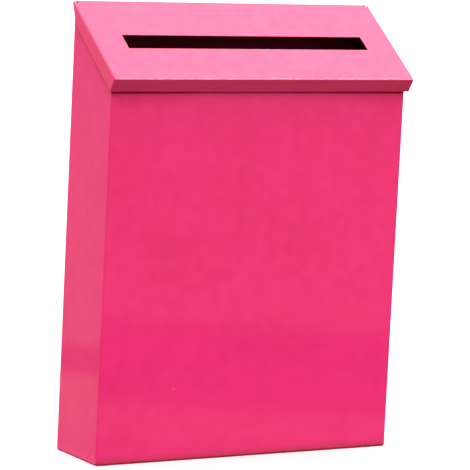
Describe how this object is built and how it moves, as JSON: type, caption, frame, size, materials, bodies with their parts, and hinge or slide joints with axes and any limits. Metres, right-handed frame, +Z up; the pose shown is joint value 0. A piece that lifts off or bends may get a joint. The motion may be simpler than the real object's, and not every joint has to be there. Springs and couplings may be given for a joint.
{
  "type": "wall mounted post box",
  "caption": "Narrow folded sheet-steel post box for a wall, with a sloping hinged lid that has a long letter slot in it.",
  "frame": {"origin": "middle of the four wall-fixing holes, on the wall plane", "axes": "+X to the viewer's right, +Y back into the wall, +Z up"},
  "size_m": [0.3062, 0.0867, 0.4002],
  "materials": {
    "pink_powder_coat": "semi-gloss powder coat on 1 mm steel",
    "zinc_plated_steel": "satin zinc"
  },
  "bodies": {
    "box": {"body_shell": "pink_powder_coat", "back_panel": "pink_powder_coat", "hinge_rod": "zinc_plated_steel"},
    "lid": {"lid": "pink_powder_coat"}
  },
  "joints": [
    {"name": "lid_hinge", "type": "hinge", "parent": "box", "child": "lid", "pos_m": [0, -0.0023, 0.1729], "axis": [-1, 0, 0], "range_deg": [0, 125]}
  ]
}
